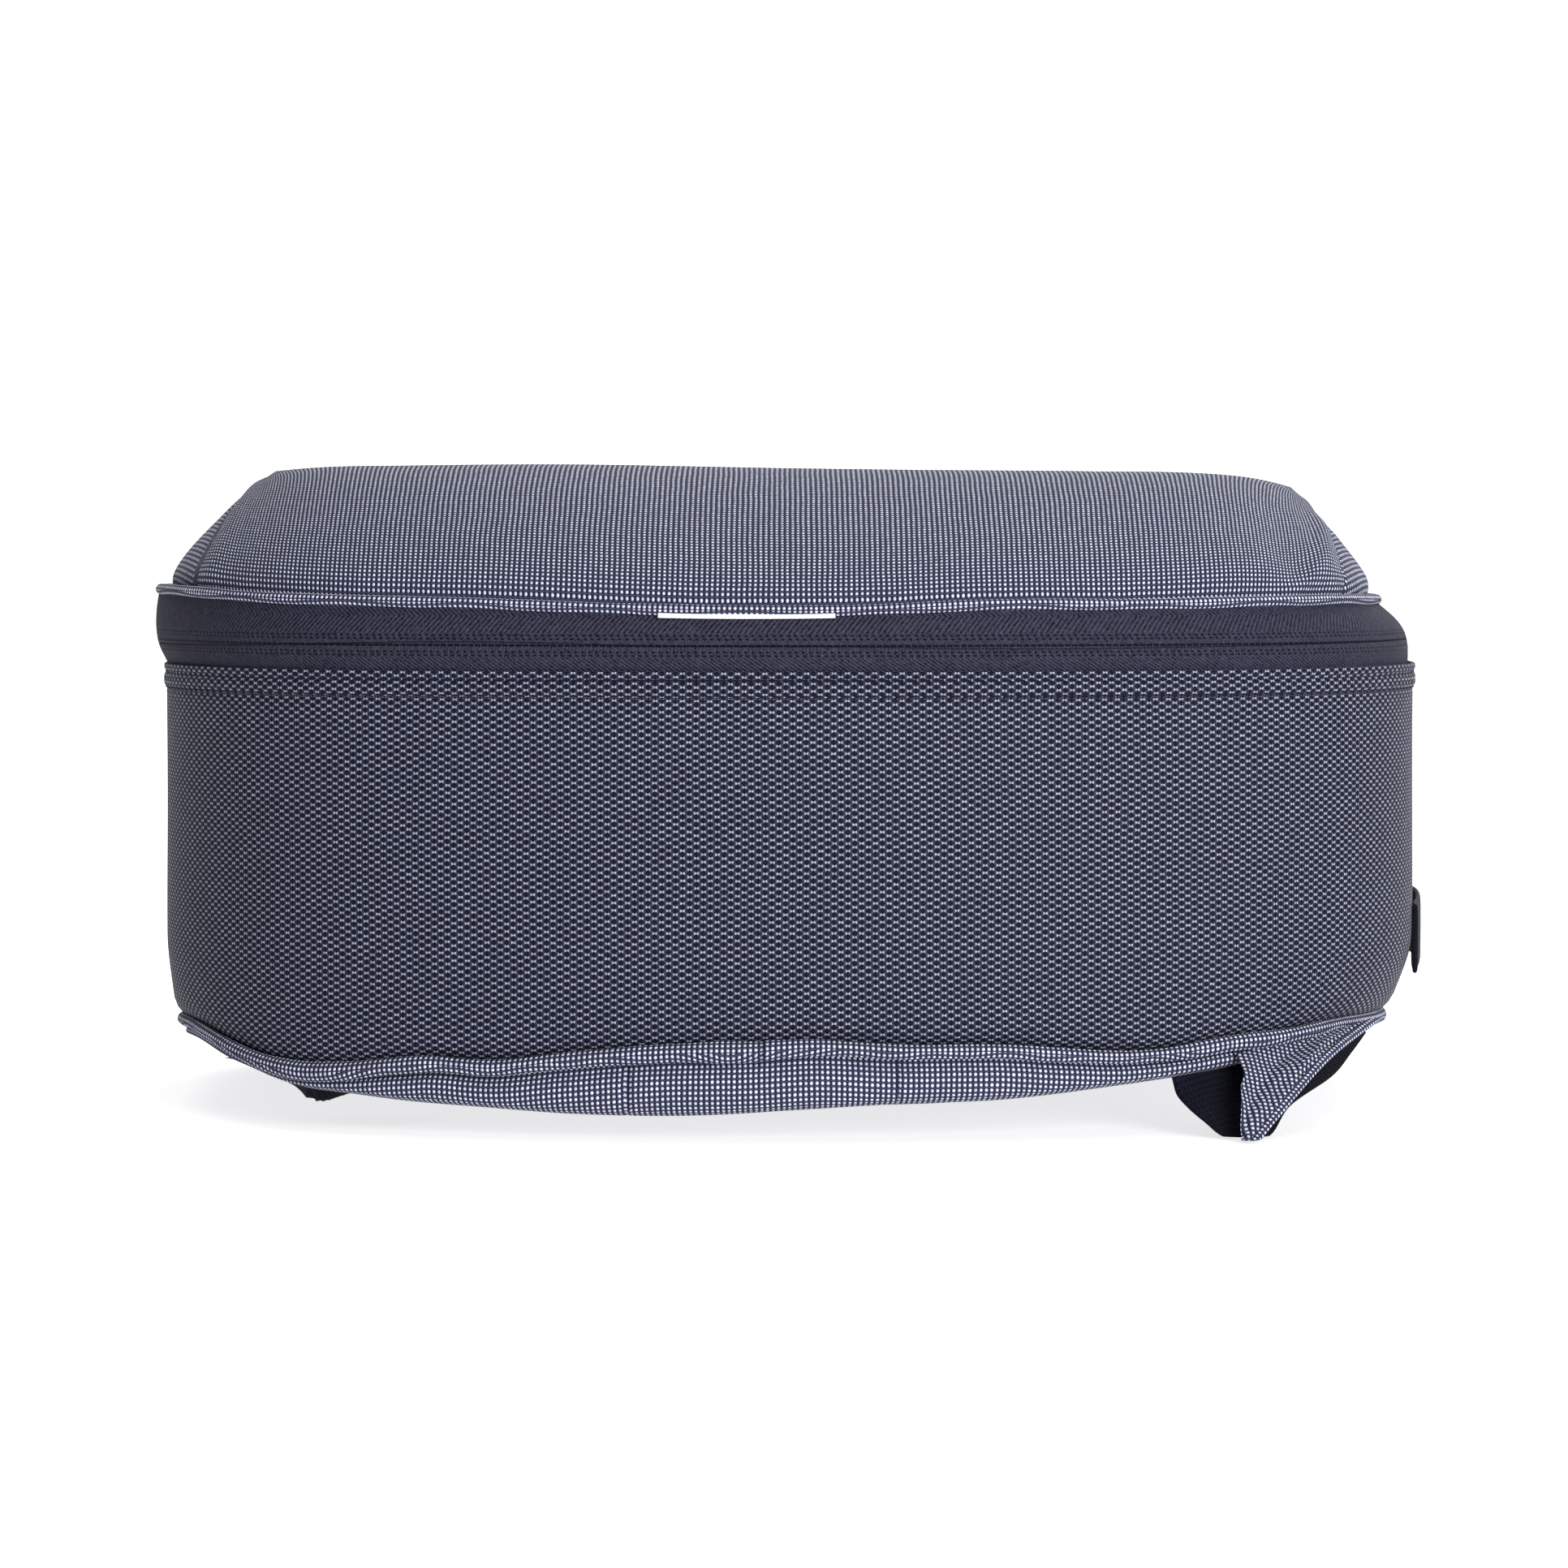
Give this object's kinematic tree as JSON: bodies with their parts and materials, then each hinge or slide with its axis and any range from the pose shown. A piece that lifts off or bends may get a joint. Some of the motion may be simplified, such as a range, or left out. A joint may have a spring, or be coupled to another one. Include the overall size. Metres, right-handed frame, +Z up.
{
  "type": "packing cube",
  "caption": "Soft zip-round packing cube with a bowed front, foam-backed walls, domed hinged lid, piped seams, side grab handle and two folding strap anchors.",
  "frame": {"origin": "on the floor under the middle of the flat part of the base panel", "axes": "+X to the right along the width, -Y towards the bowed front, +Z up"},
  "size_m": [0.3127, 0.23, 0.1556],
  "materials": {
    "two_tone_fabric": "fine navy and pale grey two-tone weave, matt",
    "wall_fabric": "coarse charcoal ballistic weave with a slight sheen",
    "zip_tape": "black woven zip tape, matt",
    "zip_coil": "black nylon coil",
    "webbing": "black ribbed webbing, matt",
    "foam": "closed-cell foam sheet",
    "cord": "round filler cord",
    "lining_fabric": "thin plain grey lining",
    "ribbon": "black grosgrain ribbon, matt",
    "slider_metal": "black lacquered zinc, satin",
    "label": "blank white woven label"
  },
  "bodies": {
    "base": {"base_panel": "two_tone_fabric", "base_foam": "foam", "base_lining": "lining_fabric", "base_piping": "two_tone_fabric", "base_piping_cord": "cord", "wall_front": "wall_fabric", "wall_back": "wall_fabric", "wall_foam": "foam", "wall_lining": "lining_fabric", "rim_binding": "ribbon", "seam_binding_left": "ribbon", "seam_binding_right": "ribbon", "zip_tape_lower": "zip_tape", "zip_coil_lower": "zip_coil", "zip_tape_tail_left": "zip_tape", "zip_tape_tail_right": "zip_tape", "zip_coil_tail_left": "zip_coil", "zip_coil_tail_right": "zip_coil", "zip_stop_left": "slider_metal", "zip_stop_right": "slider_metal", "hinge_strip": "wall_fabric", "handle_patch_front": "webbing", "handle_patch_rear": "webbing"},
    "lid": {"lid_cover": "two_tone_fabric", "lid_end_left": "two_tone_fabric", "lid_end_right": "two_tone_fabric", "lid_foam": "foam", "lid_lining": "lining_fabric", "lid_piping": "two_tone_fabric", "lid_binding": "ribbon", "zip_tape_upper": "zip_tape", "zip_coil_upper": "zip_coil", "label_blank": "label"},
    "left_slider": {"slider_left": "slider_metal"},
    "right_slider": {"slider_right": "slider_metal"},
    "left_pull": {"pull_left": "slider_metal"},
    "right_pull": {"pull_right": "slider_metal"},
    "handle": {"handle_grip": "webbing"},
    "left_anchor": {"wing_left": "two_tone_fabric", "webbing_left": "webbing"},
    "right_anchor": {"wing_right": "two_tone_fabric", "webbing_right": "webbing"}
  },
  "joints": [
    {"name": "lid_open", "type": "hinge", "parent": "base", "child": "lid", "pos_m": [0, 0.112, 0.1132], "axis": [-1, 0, 0], "range_deg": [0, 120]},
    {"name": "left_slider_run", "type": "slide", "parent": "base", "child": "left_slider", "axis": [-1, 0, 0], "range_m": [0, 0.031]},
    {"name": "right_slider_run", "type": "slide", "parent": "base", "child": "right_slider", "axis": [1, 0, 0], "range_m": [0, 0.031]},
    {"name": "left_pull_swing", "type": "hinge", "parent": "left_slider", "child": "left_pull", "pos_m": [-0.0444, 0.11135, 0.1132], "axis": [0, 0, 1], "range_deg": [0, 170]},
    {"name": "right_pull_swing", "type": "hinge", "parent": "right_slider", "child": "right_pull", "pos_m": [0.0444, 0.11135, 0.1132], "axis": [0, 0, -1], "range_deg": [0, 170]},
    {"name": "handle_pull_out", "type": "slide", "parent": "base", "child": "handle", "axis": [1, 0, 0], "range_m": [0, 0.015]},
    {"name": "left_anchor_fold", "type": "hinge", "parent": "base", "child": "left_anchor", "pos_m": [-0.12365, -0.08137, 0.0065], "axis": [-0.7604, 0.6494, 0], "range_deg": [0, 200]},
    {"name": "right_anchor_fold", "type": "hinge", "parent": "base", "child": "right_anchor", "pos_m": [0.12443, -0.08228, 0.017], "axis": [-0.7604, -0.6494, 0], "range_deg": [0, 120]}
  ]
}
